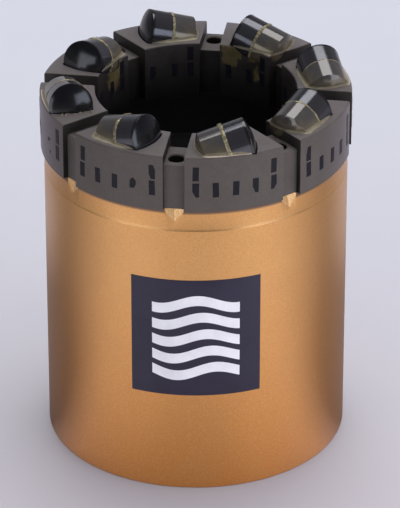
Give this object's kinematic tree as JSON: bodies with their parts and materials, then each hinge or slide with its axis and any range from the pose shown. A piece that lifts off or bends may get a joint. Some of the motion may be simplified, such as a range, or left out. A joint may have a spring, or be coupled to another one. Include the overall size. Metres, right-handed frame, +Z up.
{
  "type": "pdc core drill bit",
  "caption": "Face-discharge core drill bit: a ring of polycrystalline diamond cutters brazed to a segmented matrix crown on a threaded steel shell.",
  "frame": {"origin": "centre of the shell's flat lower end", "axes": "+Z up along the bit's axis, from the threaded end to the cutters; the label faces -Y"},
  "size_m": [0.0962, 0.0962, 0.1238],
  "materials": {
    "gold_paint": "satin metallic gold paint on steel",
    "matrix": "infiltrated tungsten-carbide matrix, fine grained and dull",
    "diamond": "polished black polycrystalline diamond",
    "carbide": "ground cemented carbide",
    "braze": "pale brass braze, as flowed",
    "stud": "warm grey carbide stud with a thin film of braze",
    "label": "satin navy vinyl"
  },
  "bodies": {
    "root": {"steel_shell": "gold_paint", "matrix_crown": "matrix", "pdc_table_1": "diamond", "carbide_substrate_1": "carbide", "braze_seam_1": "braze", "backing_stud_1": "stud", "pdc_table_2": "diamond", "carbide_substrate_2": "carbide", "braze_seam_2": "braze", "backing_stud_2": "stud", "pdc_table_3": "diamond", "carbide_substrate_3": "carbide", "braze_seam_3": "braze", "backing_stud_3": "stud", "pdc_table_4": "diamond", "carbide_substrate_4": "carbide", "braze_seam_4": "braze", "backing_stud_4": "stud", "pdc_table_5": "diamond", "carbide_substrate_5": "carbide", "braze_seam_5": "braze", "backing_stud_5": "stud", "pdc_table_6": "diamond", "carbide_substrate_6": "carbide", "braze_seam_6": "braze", "backing_stud_6": "stud", "pdc_table_7": "diamond", "carbide_substrate_7": "carbide", "braze_seam_7": "braze", "backing_stud_7": "stud", "pdc_table_8": "diamond", "carbide_substrate_8": "carbide", "braze_seam_8": "braze", "backing_stud_8": "stud", "shell_label": "label"}
  },
  "joints": []
}
